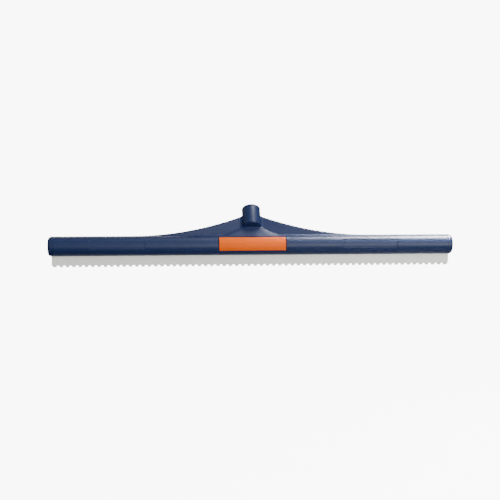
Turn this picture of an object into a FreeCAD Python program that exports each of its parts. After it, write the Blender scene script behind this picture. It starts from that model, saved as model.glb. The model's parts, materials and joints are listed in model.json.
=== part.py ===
"""Head of a notched floor squeegee: a half-round bar that holds a toothed blade, with a leaning handle socket.

Lengths are in millimetres. X runs along the bar, the front of the bar faces -Y and Z is up.
The sheet is measured from the middle of the working edge: the blade's middle plane is at zero across the bar
and the tips of its teeth are at zero height. Each sub-part is then placed so that the centre of the handle
socket's mouth is the origin.
"""
import FreeCAD, Part
import os
import Sketcher
from FreeCAD import Placement, Rotation, Vector

SIZES = (
    # the rubber blade
    ("tooth_pitch", 9.525),
    ("tooth_count", 64),
    ("notch_radius", 2.8),
    ("blade_thick", 4.8),
    ("blade_tall", 34.0),
    ("blade_corner", 5.0),
    # the strip that grips the top of the blade and runs in the bar's channel
    ("carrier_thick", 7.6),
    ("carrier_foot", 22.6),
    ("carrier_top", 35.6),
    # the half-round bar: a back frame and a front cover that meet at a seam below the top edge
    ("bar_length", 620.0),
    ("cap_width", 8.0),
    ("cap_round", 5.0),
    ("bar_foot", 17.0),
    ("bar_top", 46.5),
    ("bar_mid", 31.75),
    ("bar_radius", 15.0),
    ("wall", 2.6),
    ("back_front", 4.1),
    ("back_rear", 7.1),
    ("lip_gap", 2.8),
    ("lip_top", 22.3),
    ("roof_under", 43.5),
    ("seam", 45.4),
    ("seam_gap", 0.15),
    ("seam_step", 4.6),
    # ribs, bosses and screws
    ("rib_pitch", 37.5),
    ("rib_thick", 2.0),
    ("rib_count", 15),
    ("back_rib_deep", 2.2),
    ("boss_radius", 3.2),
    ("screw_up", 40.0),
    ("cap_screw_out", 297.0),
    ("shank_radius", 1.9),
    ("shank_length", 12.0),
    ("screw_hole", 2.2),
    ("screw_head", 3.8),
    ("head_tall", 2.4),
    # the badge in its window and the two shallow panels
    ("badge_half", 50.8),
    ("badge_foot", 24.7),
    ("badge_top", 45.0),
    ("badge_sink", 0.6),
    ("badge_thick", 1.8),
    ("window_gap", 0.9),
    ("backing_thick", 2.2),
    ("peg_radius", 1.6),
    ("peg_pitch", 28.0),
    ("panel_foot", 29.0),
    ("panel_top", 41.5),
    ("panel_sink", 0.6),
    ("panel_length", 83.5),
    ("left_panel", -246.5),
    ("right_panel", 139.5),
    # the fin that carries the load from the socket out along the bar
    ("fin_reach", 184.0),
    ("fin_arc", 506.0),
    ("fin_root", 44.5),
    ("fin_back", 4.9),
    ("fin_thick", 3.6),
    ("fin_slope", 0.55),
    ("fin_peak", 79.0),
    # the sloping foot in front of the socket
    ("foot_front", -2.7),
    ("foot_rise", 14.5),
    ("foot_wide", 46.0),
    ("foot_narrow", 14.5),
    ("foot_rear", 6.0),
    # the handle socket
    ("lean", 40.0),
    ("socket_radius", 14.25),
    ("socket_length", 34.3),
    ("socket_front", 8.5),
    ("socket_up", 58.9),
    ("insert_radius", 11.6),
    ("insert_deep", 31.0),
    ("thread_radius", 9.6),
    ("gusset_thick", 5.0),
    ("gusset_foot", 24.0),
)

PLANES = {"across": "YZ_Plane", "front": "XZ_Plane", "level": "XY_Plane"}

doc = FreeCAD.newDocument("squeegee_head")
sheet = doc.addObject("Spreadsheet::Sheet", "sizes")
for row, (alias, value) in enumerate(SIZES, start=1):
    sheet.set(f"A{row}", alias)
    sheet.set(f"B{row}", str(value))
    sheet.setAlias(f"B{row}", alias)
doc.recompute()

S = {alias: f"sizes.{alias}" for alias, _ in SIZES}

# Formulas over the sheet that several sub-parts share.
MOUTH_Y = "(sizes.socket_front + sizes.socket_length * sin(sizes.lean))"
MOUTH_Z = "(sizes.socket_up + sizes.socket_length * cos(sizes.lean))"
BLADE_HALF = "(sizes.tooth_pitch * sizes.tooth_count / 2)"
SHELL_HALF = "(sizes.bar_length / 2 - sizes.cap_width)"
INNER_RADIUS = "(sizes.bar_radius - sizes.wall)"
BADGE_OUTER = "(sizes.bar_radius - sizes.badge_sink)"
BADGE_INNER = "(sizes.bar_radius - sizes.badge_sink - sizes.badge_thick)"


def number(text):
    """The value of a formula over the sheet."""
    return float(sheet.evalExpression(text))


def depth_at(radius, up):
    """How far in front of the blade's middle plane the bar's circle of this radius is, at a height."""
    return f"(0 - sqrt({radius}^2 - ({up} - sizes.bar_mid)^2))"


def height_at(radius, front, way):
    """The height of the bar's circle of this radius at a depth, above (+) or below (-) its centre."""
    return f"(sizes.bar_mid {way} sqrt({radius}^2 - ({front})^2))"


def new_body(label):
    """A body whose placement brings the centre of the socket's mouth to the origin."""
    body = doc.addObject("PartDesign::Body", label)
    body.Label = label
    place(body)
    return body


def place(piece):
    piece.setExpression("Placement.Base.y", f"0 - {MOUTH_Y}")
    piece.setExpression("Placement.Base.z", f"0 - {MOUTH_Z}")


def new_sketch(body, plane, name, offset=None):
    """A sketch on one of the body's own planes, moved along the plane's normal by a formula."""
    sketch = body.newObject("Sketcher::SketchObject", name)
    support = [f for f in body.Origin.OriginFeatures if f.Role == PLANES[plane]][0]
    sketch.AttachmentSupport = [(support, "")]
    sketch.MapMode = "FlatFace"
    if offset:
        sketch.setExpression("AttachmentOffset.Base.z", offset)
    return sketch


def pin(sketch, kind, index, point, text):
    """Bind one coordinate of a sketch point to a formula."""
    spot = sketch.addConstraint(Sketcher.Constraint(kind, -1, 1, index, point, number(text)))
    sketch.setExpression(f"Constraints[{spot}]", text)


def bulge(start, end, radius, side):
    """The middle point of the shorter arc from start to end, to the left (+1) or right (-1) of travel."""
    chord = end - start
    half = chord.Length / 2
    sagitta = radius - (radius**2 - half**2) ** 0.5
    left = Vector(-chord.y, chord.x, 0).normalize()
    return (start + end) * 0.5 + left * (sagitta * side)


def outline(sketch, corners):
    """A closed outline. A corner is (across, up), or (across, up, radius, side) where an arc starts."""
    spots = [Vector(number(c[0]), number(c[1]), 0) for c in corners]
    for i, corner in enumerate(corners):
        start, end = spots[i], spots[(i + 1) % len(spots)]
        if len(corner) == 2:
            sketch.addGeometry(Part.LineSegment(start, end))
        else:
            middle = bulge(start, end, number(corner[2]), corner[3])
            sketch.addGeometry(Part.Arc(start, middle, end))
    ends = [arc_ends(sketch, i, spots[i]) for i in range(len(corners))]
    for i, corner in enumerate(corners):
        follower = (i + 1) % len(corners)
        link = Sketcher.Constraint("Coincident", i, ends[i][1], follower, ends[follower][0])
        sketch.addConstraint(link)
        pin(sketch, "DistanceX", i, ends[i][0], corner[0])
        pin(sketch, "DistanceY", i, ends[i][0], corner[1])
        if len(corner) > 2:
            spot = sketch.addConstraint(Sketcher.Constraint("Radius", i, number(corner[2])))
            sketch.setExpression(f"Constraints[{spot}]", corner[2])
    return sketch


def arc_ends(sketch, index, start):
    """Which end of a sketch line or arc is at the given start, because an arc runs anticlockwise."""
    near = (sketch.getPoint(index, 1) - start).Length < (sketch.getPoint(index, 2) - start).Length
    return (1, 2) if near else (2, 1)


def circles(sketch, centres, radius):
    """Circles of one radius at a list of (across, up) formulas."""
    for i, (across, up) in enumerate(centres):
        middle = Vector(number(across), number(up), 0)
        sketch.addGeometry(Part.Circle(middle, Vector(0, 0, 1), number(radius)))
        pin(sketch, "DistanceX", i, 3, across)
        pin(sketch, "DistanceY", i, 3, up)
        spot = sketch.addConstraint(Sketcher.Constraint("Radius", i, number(radius)))
        sketch.setExpression(f"Constraints[{spot}]", radius)
    return sketch


def extrude(body, kind, name, sketch, length, side="One side", back=False):
    """A Pad or a Pocket of a sketch. A pocket has to take material away."""
    before = body.Shape.Volume if kind == "Pocket" else 0.0
    feature = body.newObject(f"PartDesign::{kind}", name)
    feature.Profile = sketch
    feature.SideType = side
    feature.Reversed = back
    feature.setExpression("Length", length)
    doc.recompute()
    if kind == "Pocket" and feature.Shape.Volume > before - 0.1:
        raise RuntimeError(f"{name} cuts nothing")
    return feature


def row_of(body, name, feature, length, count):
    """Repeat a feature along the bar, the first at its own place and the last at the given length."""
    pattern = body.newObject("PartDesign::LinearPattern", name)
    pattern.Originals = [feature]
    support = [f for f in body.Origin.OriginFeatures if f.Role == "X_Axis"][0]
    pattern.Direction = (support, [""])
    pattern.setExpression("Length", length)
    pattern.setExpression("Occurrences", count)
    body.Tip = pattern
    doc.recompute()
    return pattern


def fillet(body, name, radius, wanted):
    """Round the edges whose middle point passes a test."""
    last = body.Tip
    doc.recompute()
    edges = [f"Edge{i}" for i, e in enumerate(last.Shape.Edges, start=1) if wanted(middle_of(e))]
    feature = body.newObject("PartDesign::Fillet", name)
    feature.Base = (last, edges)
    feature.setExpression("Radius", radius)
    doc.recompute()
    return feature


def middle_of(edge):
    return edge.valueAt((edge.FirstParameter + edge.LastParameter) / 2)


def blade_outline(half, foot, up, gap):
    """The slot that the carrier and the blade need, seen along the bar: a neck and a wider head."""
    neck, head = f"({half} + {gap})", f"(sizes.carrier_thick / 2 + {gap})"
    shoulder, top = f"(sizes.carrier_foot - {gap})", f"({up} + {gap})"
    right = [(neck, foot), (neck, shoulder), (head, shoulder), (head, top)]
    left = [(f"0 - {across}", height) for across, height in reversed(right)]
    return right + left


def screw_places(ends):
    """The screws stand midway between the back ribs, with one more through the right end cap."""
    inner = [f"{step} * sizes.rib_pitch" for step in range(-7, 8, 2)]
    return [(x, S["screw_up"]) for x in inner + ends]


def notched_blade():
    body = new_body("notched_blade")
    slab = new_sketch(body, "front", "slab_outline")
    outline(slab, [
        (f"0 - {BLADE_HALF}", "0"),
        (BLADE_HALF, "0"),
        (BLADE_HALF, S["blade_tall"]),
        (f"0 - {BLADE_HALF}", S["blade_tall"]),
    ])
    extrude(body, "Pad", "slab", slab, S["blade_thick"], "Symmetric")
    half = number(BLADE_HALF)
    fillet(body, "lower_corners", S["blade_corner"], lambda p: abs(p.x) > half - 0.1 and abs(p.z) < 0.1)
    notch = new_sketch(body, "front", "notch_outline")
    circles(notch, [(f"sizes.tooth_pitch - {BLADE_HALF}", "0")], S["notch_radius"])
    first = extrude(body, "Pocket", "notch", notch, "2 * sizes.blade_thick", "Symmetric")
    row_of(body, "notches", first, "(sizes.tooth_count - 2) * sizes.tooth_pitch", "sizes.tooth_count - 1")
    return body


def blade_carrier():
    body = new_body("blade_carrier")
    head, neck = "sizes.carrier_thick / 2", "sizes.blade_thick / 2"
    section = new_sketch(body, "across", "section")
    outline(section, [
        (f"0 - {head}", S["carrier_foot"]),
        (f"0 - {neck}", S["carrier_foot"]),
        (f"0 - {neck}", S["blade_tall"]),
        (neck, S["blade_tall"]),
        (neck, S["carrier_foot"]),
        (head, S["carrier_foot"]),
        (head, S["carrier_top"]),
        (f"0 - {head}", S["carrier_top"]),
    ])
    extrude(body, "Pad", "strip", section, f"2 * {BLADE_HALF}", "Symmetric")
    return body


def fin_height(x):
    """The fin's top edge: one wide arc, tangent to the top of the bar at the fin's reach."""
    return f"(sizes.bar_top + sizes.fin_arc - sqrt(sizes.fin_arc^2 - (sizes.fin_reach - {x})^2))"


def fin_section(body, way, x, upright):
    """The fin's section at a place along the bar: it leans back, and sinks a little, towards the socket."""
    lean = f"(({upright} - sizes.fin_root) * sizes.fin_slope * (1 - {x} / sizes.fin_reach)^1.3)"
    top = f"({upright} - 0.15 * {lean})"
    thin = "sizes.fin_thick / 2"
    sketch = new_sketch(body, "across", f"web_at_{x}", f"{way} * {x}")
    outline(sketch, [
        (f"sizes.fin_back - {thin}", S["fin_root"]),
        (f"sizes.fin_back + {thin}", S["fin_root"]),
        (f"sizes.fin_back + {lean} + {thin}", f"{top} - {thin}", f"{thin} * 1.02", -1),
        (f"sizes.fin_back + {lean} - {thin}", f"{top} - {thin}"),
    ])
    return sketch


def fin(label, way):
    """Half of the fin: a loft outwards from the socket's middle, less the seat of the socket's tube."""
    body = new_body(label)
    peak = S["fin_peak"]
    stations = [(0, peak), (11, peak), (14, f"({peak} - 1.2)"), (17, f"({peak} - 3.6)")]
    stations += [(x, fin_height(x)) for x in (21, 27, 35, 45, 57, 71, 87, 105, 125, 150)]
    stations.append((183, "(sizes.bar_top + 0.1)"))
    sections = [fin_section(body, way, x, upright) for x, upright in stations]
    loft = body.newObject("PartDesign::AdditiveLoft", "web")
    loft.Profile = sections[0]
    loft.Sections = sections[1:]
    loft.Ruled = True
    doc.recompute()
    tube_seat(body)
    return body


def tube_seat(body):
    """The round seat that the socket's tube is welded into."""
    seat = leaning_sketch(body, "tube_outline", "sizes.socket_length")
    circles(seat, [("0", "0")], S["socket_radius"])
    extrude(body, "Pocket", "tube_seat", seat, S["socket_length"])


def flat_seat(body):
    """The flat that the lower end of the socket's tube stands on."""
    half = "(sizes.socket_radius + 2)"
    flat = leaning_sketch(body, "flat_outline", "sizes.socket_length")
    outline(flat, [(f"0 - {half}", f"0 - {half}"), (half, f"0 - {half}"), (half, half), (f"0 - {half}", half)])
    extrude(body, "Pocket", "tube_flat", flat, S["socket_length"])


def sloping_foot(body):
    """The foot in front of the socket: it narrows and gets steeper as it rises, as a bell does."""
    sections = []
    for step, share in enumerate(("0.0", "0.2", "0.45", "0.72", "1.0")):
        rise = f"({share} * sizes.foot_rise)"
        wide = f"(sizes.foot_narrow + (sizes.foot_wide - sizes.foot_narrow) * (1 - {share})^1.4)"
        front = f"(sizes.foot_front + {rise} - 0.0183 * {rise}^2)"
        rear = f"(sizes.foot_rear + 0.49 * {rise})"
        sketch = new_sketch(body, "level", f"foot_{step}", f"sizes.bar_top + {rise}")
        outline(sketch, [
            (f"0 - {wide} * 0.74", front),
            (f"{wide} * 0.74", front),
            (wide, rear),
            (f"0 - {wide}", rear),
        ])
        sections.append(sketch)
    loft = body.newObject("PartDesign::AdditiveLoft", "sloping_foot")
    loft.Profile = sections[0]
    loft.Sections = sections[1:]
    doc.recompute()


def leaning_sketch(body, name, along):
    """A sketch square to the socket's axis, at a distance up it from the socket's lower end."""
    sketch = new_sketch(body, "level", name)
    sketch.AttachmentOffset = Placement(Vector(), Rotation(Vector(1, 0, 0), -number(S["lean"])))
    sketch.setExpression("AttachmentOffset.Base.y", f"sizes.socket_front + {along} * sin(sizes.lean)")
    sketch.setExpression("AttachmentOffset.Base.z", f"sizes.socket_up + {along} * cos(sizes.lean)")
    sketch.setExpression("AttachmentOffset.Rotation.Angle", "sizes.lean")
    sketch.setExpression("AttachmentOffset.Rotation.Axis.x", "-1")
    return sketch


def gusset(body):
    """The plate behind the socket, which bears on the bar's middle rib."""
    rib_back = "(sizes.back_rear + sizes.back_rib_deep)"
    plate = new_sketch(body, "across", "gusset_outline")
    outline(plate, [
        (rib_back, S["gusset_foot"]),
        (f"{rib_back} + 2", S["gusset_foot"]),
        ("sizes.socket_front + 26", "sizes.socket_up + 8"),
        ("sizes.socket_front + 12", "sizes.socket_up + 12"),
        ("sizes.back_rear + 0.2", S["bar_top"]),
        ("sizes.back_rear + 0.2", S["fin_root"]),
        (rib_back, "sizes.bar_top - 4"),
    ])
    extrude(body, "Pad", "gusset", plate, S["gusset_thick"], "Symmetric")


def fitted(label, shape, seat, fins):
    """A sub-part cut to fit round the fins and the socket's tube."""
    blank = new_body(f"{label}_blank")
    shape(blank)
    seat(blank)
    cut = doc.addObject("Part::Cut", label)
    cut.Label = label
    cut.Base, cut.Tool = blank, fins
    return cut


def both(pair):
    fused = doc.addObject("Part::Fuse", "both_fins")
    fused.Base, fused.Tool = pair
    return fused


def handle_socket():
    """The socket's tube, with a blind seat for the threaded insert."""
    body = new_body("handle_socket")
    ring = circles(leaning_sketch(body, "socket_ring", "0"), [("0", "0")], S["socket_radius"])
    extrude(body, "Pad", "socket_tube", ring, S["socket_length"])
    seat = leaning_sketch(body, "seat_ring", "sizes.socket_length")
    circles(seat, [("0", "0")], S["insert_radius"])
    extrude(body, "Pocket", "insert_seat", seat, S["insert_deep"])
    return body


def rear_frame():
    """The back wall and the roof, with a rebate along the roof's rear edge for the foot of the fin."""
    body = new_body("rear_frame")
    section = new_sketch(body, "across", "section")
    outline(section, [
        (S["lip_gap"], S["bar_foot"]),
        (S["back_rear"], S["bar_foot"]),
        (S["back_rear"], S["bar_top"]),
        (depth_at(S["bar_radius"], S["bar_top"]), S["bar_top"], S["bar_radius"], 1),
        (depth_at(S["bar_radius"], S["seam"]), S["seam"]),
        ("0 - sizes.seam_step", S["seam"]),
        ("0 - sizes.seam_step", S["roof_under"]),
        (S["back_front"], S["roof_under"]),
        (S["back_front"], S["lip_top"]),
        (S["lip_gap"], S["lip_top"]),
    ])
    extrude(body, "Pad", "back_and_roof", section, f"2 * {SHELL_HALF}", "Symmetric")
    rib = new_sketch(body, "across", "back_rib_outline", "0 - 6 * sizes.rib_pitch")
    outline(rib, [
        ("sizes.back_rear - 0.5", "sizes.bar_foot + 1.5"),
        ("sizes.back_rear + sizes.back_rib_deep", "sizes.bar_foot + 4"),
        ("sizes.back_rear + sizes.back_rib_deep", "sizes.bar_top - 4"),
        ("sizes.back_rear - 0.5", "sizes.bar_top - 1.5"),
    ])
    first = extrude(body, "Pad", "back_rib", rib, S["rib_thick"], "Symmetric")
    row_of(body, "back_ribs", first, "12 * sizes.rib_pitch", "7")
    rebate = new_sketch(body, "across", "rebate_outline")
    outline(rebate, [
        ("sizes.fin_back - sizes.fin_thick / 2", S["fin_root"]),
        ("sizes.back_rear + sizes.back_rib_deep", S["fin_root"]),
        ("sizes.back_rear + sizes.back_rib_deep", "sizes.bar_top + 1"),
        ("sizes.fin_back - sizes.fin_thick / 2", "sizes.bar_top + 1"),
    ])
    extrude(body, "Pocket", "rebate", rebate, "2 * sizes.fin_reach", "Symmetric")
    holes = new_sketch(body, "front", "screw_holes", "0 - sizes.back_rear - 0.1")
    circles(holes, screw_places([S["cap_screw_out"]]), S["screw_hole"])
    extrude(body, "Pocket", "screw_clearance", holes, "sizes.back_rear - sizes.back_front + 0.2", back=True)
    return body


def front_cover():
    """The half-round front shell, with ribs that face the carrier, screw bosses, the window and the panels."""
    body = new_body("front_cover")
    edge = "(sizes.seam - sizes.seam_gap)"
    step = "(0 - sizes.seam_step - sizes.seam_gap)"
    lip = "(0 - sizes.lip_gap)"
    section = new_sketch(body, "across", "section")
    outline(section, [
        (depth_at(S["bar_radius"], edge), edge, S["bar_radius"], -1),
        (lip, height_at(S["bar_radius"], S["lip_gap"], "-")),
        (lip, S["lip_top"]),
        (depth_at(INNER_RADIUS, S["lip_top"]), S["lip_top"], INNER_RADIUS, 1),
        (step, height_at(INNER_RADIUS, step, "+")),
        (step, edge),
    ])
    extrude(body, "Pad", "shell", section, f"2 * {SHELL_HALF}", "Symmetric")
    cover_ribs(body)
    cover_bosses(body)
    badge_window(body)
    for name, start in (("left_panel", S["left_panel"]), ("right_panel", S["right_panel"])):
        shallow_panel(body, name, start)
    return body


def cover_ribs(body):
    """Cross ribs. Their rear edges are the front wall of the carrier's channel."""
    rib_radius = f"({INNER_RADIUS} + 0.5)"
    rib_top = "(sizes.roof_under - 0.4)"
    rib = new_sketch(body, "across", "rib_outline", "0 - 7 * sizes.rib_pitch")
    outline(rib, [
        ("0 - sizes.back_front", "sizes.lip_top - 0.5"),
        ("0 - sizes.back_front", height_at(rib_radius, "(sizes.back_front + 2)", "+")),
        ("0 - sizes.back_front - 2", height_at(rib_radius, "(sizes.back_front + 2)", "+"), rib_radius, -1),
        (depth_at(rib_radius, "(sizes.lip_top - 0.5)"), "sizes.lip_top - 0.5"),
    ])
    first = extrude(body, "Pad", "cross_rib", rib, S["rib_thick"], "Symmetric")
    row_of(body, "cross_ribs", first, "(sizes.rib_count - 1) * sizes.rib_pitch", S["rib_count"])


def cover_bosses(body):
    """Bosses that reach back over the carrier to the back wall, each with a pilot hole for its screw."""
    start = new_sketch(body, "front", "boss_circles", "0 - sizes.back_front + 0.1")
    circles(start, screw_places([]), S["boss_radius"])
    extrude(body, "Pad", "bosses", start, "sizes.back_front + 8")
    pilots = new_sketch(body, "front", "pilot_circles", "0 - sizes.back_front")
    circles(pilots, screw_places([]), S["shank_radius"])
    extrude(body, "Pocket", "pilots", pilots, "sizes.shank_length - sizes.back_rear + sizes.back_front", back=True)


def badge_window(body):
    """A window open to the roof's lip, whose floor is thickened behind the badge and drilled for its pegs."""
    backing_radius = f"({BADGE_INNER} - sizes.backing_thick)"
    low, high = "(sizes.badge_foot - 2)", "(sizes.badge_top - 5)"
    backing = new_sketch(body, "across", "backing_outline")
    shell_radius = f"({INNER_RADIUS} + 0.3)"
    outline(backing, [
        (depth_at(shell_radius, high), high, shell_radius, -1),
        (depth_at(shell_radius, low), low),
        (depth_at(backing_radius, low), low, backing_radius, 1),
        (depth_at(backing_radius, high), high),
    ])
    extrude(body, "Pad", "backing", backing, "2 * (sizes.badge_half + 4)", "Symmetric")
    foot = "(sizes.badge_foot - sizes.window_gap / 2)"
    rear = "(sizes.back_front + 0.3)"
    window = new_sketch(body, "across", "window_outline")
    outline(window, [
        ("0 - sizes.bar_radius - 1", foot),
        (depth_at(BADGE_INNER, foot), foot, BADGE_INNER, 1),
        (f"0 - {rear}", height_at(BADGE_INNER, rear, "+")),
        (f"0 - {rear}", "sizes.bar_top + 1"),
        ("0 - sizes.bar_radius - 1", "sizes.bar_top + 1"),
    ])
    extrude(body, "Pocket", "window", window, "2 * (sizes.badge_half + sizes.window_gap)", "Symmetric")
    holes = new_sketch(body, "front", "peg_hole_circles")
    circles(holes, peg_places(), "sizes.peg_radius + 0.1")
    extrude(body, "Pocket", "peg_holes", holes, "sizes.bar_radius + 1", back=True)


def peg_places():
    return [(f"{step} * sizes.peg_pitch", S["bar_mid"]) for step in (-1.5, -0.5, 0.5, 1.5)]


def shallow_panel(body, name, start):
    """A shallow recess that follows the half-round front."""
    floor = "(sizes.bar_radius - sizes.panel_sink)"
    sketch = new_sketch(body, "across", f"{name}_outline", start)
    outline(sketch, [
        ("0 - sizes.bar_radius - 1", S["panel_foot"]),
        (depth_at(floor, S["panel_foot"]), S["panel_foot"], floor, 1),
        (depth_at(floor, S["panel_top"]), S["panel_top"]),
        ("0 - sizes.bar_radius - 1", S["panel_top"]),
    ])
    extrude(body, "Pocket", name, sketch, S["panel_length"], back=True)


def centre_badge():
    """A curved plate that lies a little below the cover's face, with pegs that are staked behind it."""
    body = new_body("centre_badge")
    rear = "(sizes.back_front + 0.8)"
    section = new_sketch(body, "across", "section")
    outline(section, [
        (depth_at(BADGE_OUTER, S["badge_top"]), S["badge_top"], BADGE_OUTER, -1),
        (depth_at(BADGE_OUTER, S["badge_foot"]), S["badge_foot"]),
        (depth_at(BADGE_INNER, S["badge_foot"]), S["badge_foot"], BADGE_INNER, 1),
        (f"0 - {rear}", height_at(BADGE_INNER, rear, "+")),
    ])
    extrude(body, "Pad", "plate", section, "2 * sizes.badge_half", "Symmetric")
    pegs = new_sketch(body, "front", "peg_circles", f"{BADGE_INNER} + 0.5")
    circles(pegs, peg_places(), S["peg_radius"])
    extrude(body, "Pad", "pegs", pegs, "sizes.backing_thick + 2", back=True)
    return body


def cap_section(body, way, turn):
    """The bar's outline, drawn in by a quarter turn of the dome's round: 0 degrees is the bar's full section."""
    inset = f"(sizes.cap_round * (1 - cos({turn})))"
    out = f"(sizes.bar_length / 2 - sizes.cap_round * (1 - sin({turn})))"
    radius = f"(sizes.bar_radius - {inset})"
    roof, foot = f"(sizes.bar_top - {inset})", f"(sizes.bar_foot + {inset})"
    sketch = new_sketch(body, "across", f"dome_{turn}", f"{way} * {out}")
    return outline(sketch, [
        (depth_at(radius, roof), roof, radius, -1),
        (depth_at(radius, foot), foot),
        (f"sizes.back_rear - {inset}", foot),
        (f"sizes.back_rear - {inset}", roof),
    ])


def end_cap(label, way, gap):
    """A domed end with a spigot that plugs into the bar. It takes the end of the blade and its carrier."""
    body = new_body(label)
    sections = [cap_section(body, way, turn) for turn in (0, 25, 50, 72, 90)]
    extrude(body, "Pad", "rim", sections[0], "sizes.cap_width - sizes.cap_round", back=way > 0)
    dome = body.newObject("PartDesign::AdditiveLoft", "dome")
    dome.Profile = sections[0]
    dome.Sections = sections[1:]
    doc.recompute()
    spigot = new_sketch(body, "across", "spigot_outline", f"{way} * {SHELL_HALF}")
    outline(spigot, [
        ("0 - sizes.back_front", "sizes.carrier_top + 0.7"),
        ("sizes.back_front - 0.2", "sizes.carrier_top + 0.7"),
        ("sizes.back_front - 0.2", "sizes.roof_under - 0.2"),
        ("0 - sizes.back_front", "sizes.roof_under - 0.2"),
    ])
    extrude(body, "Pad", "spigot", spigot, "10", back=way > 0)
    slot = new_sketch(body, "across", "blade_slot_outline", f"{way} * ({SHELL_HALF} - 0.5)")
    outline(slot, blade_outline("sizes.blade_thick / 2", "sizes.bar_foot - 1", S["carrier_top"], gap))
    extrude(body, "Pocket", "blade_slot", slot, f"({BLADE_HALF} - {SHELL_HALF} + 0.5 + {gap})", back=way > 0)
    if way > 0:
        pilot = new_sketch(body, "front", "pilot_circle", "0 - sizes.back_rear")
        circles(pilot, [(S["cap_screw_out"], S["screw_up"])], S["shank_radius"])
        extrude(body, "Pocket", "pilot", pilot, "2 * sizes.shank_length", back=True)
    return body


def socket_insert():
    """The threaded sleeve in the socket. Its bore is the thread's root cylinder."""
    body = new_body("socket_insert")
    ring = leaning_sketch(body, "ring", "(sizes.socket_length - sizes.insert_deep)")
    circles(ring, [("0", "0")], S["insert_radius"])
    extrude(body, "Pad", "sleeve", ring, S["insert_deep"])
    bore = circles(leaning_sketch(body, "bore_ring", "sizes.socket_length"), [("0", "0")], S["thread_radius"])
    extrude(body, "Pocket", "bore", bore, "sizes.insert_deep + 1")
    return body


def cylinder(name, radius, length, x, y):
    """A cylinder that runs back along +Y from a depth, on a screw's axis."""
    rod = doc.addObject("Part::Cylinder", name)
    rod.Placement = Placement(Vector(), Rotation(Vector(1, 0, 0), -90))
    rod.setExpression("Radius", radius)
    rod.setExpression("Height", length)
    rod.setExpression("Placement.Base.x", x)
    rod.setExpression("Placement.Base.y", y)
    rod.setExpression("Placement.Base.z", S["screw_up"])
    return rod


def cover_screws():
    """Pan-head screws, driven from behind."""
    screws = []
    for i, (x, _) in enumerate(screw_places([S["cap_screw_out"]]), start=1):
        tip = "sizes.back_rear - sizes.shank_length"
        shank = cylinder(f"shank_{i}", S["shank_radius"], "sizes.shank_length + 0.5", x, tip)
        head = cylinder(f"head_{i}", S["screw_head"], S["head_tall"], x, S["back_rear"])
        recess_at = "sizes.back_rear + sizes.head_tall - 1.4"
        recess = cylinder(f"recess_{i}", "1.5", "2", x, recess_at)
        solid = doc.addObject("Part::Fuse", f"blank_{i}")
        solid.Base, solid.Tool = shank, head
        screw = doc.addObject("Part::Cut", f"screw_{i}")
        screw.Base, screw.Tool = solid, recess
        screws.append(screw)
    group = doc.addObject("Part::Compound", "cover_screws")
    group.Label = "cover_screws"
    group.Links = screws
    place(group)
    return group


def write_all(pieces):
    doc.recompute()
    for obj in doc.Objects:
        if "Invalid" in obj.State or "Error" in obj.State:
            raise RuntimeError(f"{obj.Label} is {obj.State}")
    for piece in pieces:
        if piece.Shape.isNull() or not piece.Shape.isValid():
            raise RuntimeError(f"{piece.Label} has no valid shape")
    os.makedirs("parts", exist_ok=True)
    for piece in pieces:
        piece.Shape.exportStep(f"parts/{piece.Label}.step")
        box = piece.Shape.BoundBox
        print(f"{piece.Label}: {len(piece.Shape.Solids)} solids, {piece.Shape.Volume / 1000:.1f} cm3, {box}")


side_fins = [fin("left_fin", -1), fin("right_fin", 1)]
joined_fins = both(side_fins)
write_all([
    rear_frame(),
    *side_fins,
    fitted("socket_foot", sloping_foot, flat_seat, joined_fins),
    fitted("socket_gusset", gusset, tube_seat, joined_fins),
    handle_socket(),
    front_cover(),
    notched_blade(),
    blade_carrier(),
    centre_badge(),
    end_cap("left_end_cap", -1, "0"),
    end_cap("right_end_cap", 1, "0.3"),
    socket_insert(),
    cover_screws(),
])
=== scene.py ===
"""Looks of a notched squeegee head: a half-round bar with a toothed blade and a leaning handle socket.

Shapes are worked out in millimetres from the middle of the working edge: x runs along the bar, y from the
blade's middle plane towards the back and z up from the tips of the teeth. lay_out() turns them into metres
in the shared frame, whose origin is the centre of the handle socket's mouth.
"""
import json
import math

import bpy
import numpy as np
from bpy.props import FloatProperty, FloatVectorProperty, IntProperty, PointerProperty
from mathutils import Matrix, Vector


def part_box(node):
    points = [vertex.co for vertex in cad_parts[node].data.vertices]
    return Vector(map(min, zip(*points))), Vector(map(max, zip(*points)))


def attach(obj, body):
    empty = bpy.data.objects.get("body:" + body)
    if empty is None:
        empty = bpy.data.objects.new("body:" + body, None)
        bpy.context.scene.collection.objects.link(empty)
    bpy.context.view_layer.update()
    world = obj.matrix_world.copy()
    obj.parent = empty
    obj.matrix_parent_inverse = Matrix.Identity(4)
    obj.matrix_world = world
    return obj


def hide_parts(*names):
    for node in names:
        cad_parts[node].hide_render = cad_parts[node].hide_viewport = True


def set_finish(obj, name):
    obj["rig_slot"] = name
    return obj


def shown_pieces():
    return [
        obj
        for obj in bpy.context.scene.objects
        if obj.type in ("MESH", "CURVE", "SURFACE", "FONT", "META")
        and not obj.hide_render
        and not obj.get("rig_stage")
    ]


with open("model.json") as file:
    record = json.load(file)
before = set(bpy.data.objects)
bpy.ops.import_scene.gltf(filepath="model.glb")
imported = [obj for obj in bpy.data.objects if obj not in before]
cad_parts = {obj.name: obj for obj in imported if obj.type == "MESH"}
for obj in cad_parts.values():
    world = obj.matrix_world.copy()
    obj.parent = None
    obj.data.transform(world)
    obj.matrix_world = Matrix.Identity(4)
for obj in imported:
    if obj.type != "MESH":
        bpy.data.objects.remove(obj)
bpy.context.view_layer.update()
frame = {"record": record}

bl_info = {
    "name": "Notched squeegee head",
    "version": (1, 0, 0),
    "blender": (4, 5, 0),
    "location": "View3D > Sidebar > Squeegee",
    "description": "Builds the shell, blade, badge and socket of a notched squeegee head around its frame",
    "category": "Add Mesh",
}

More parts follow.
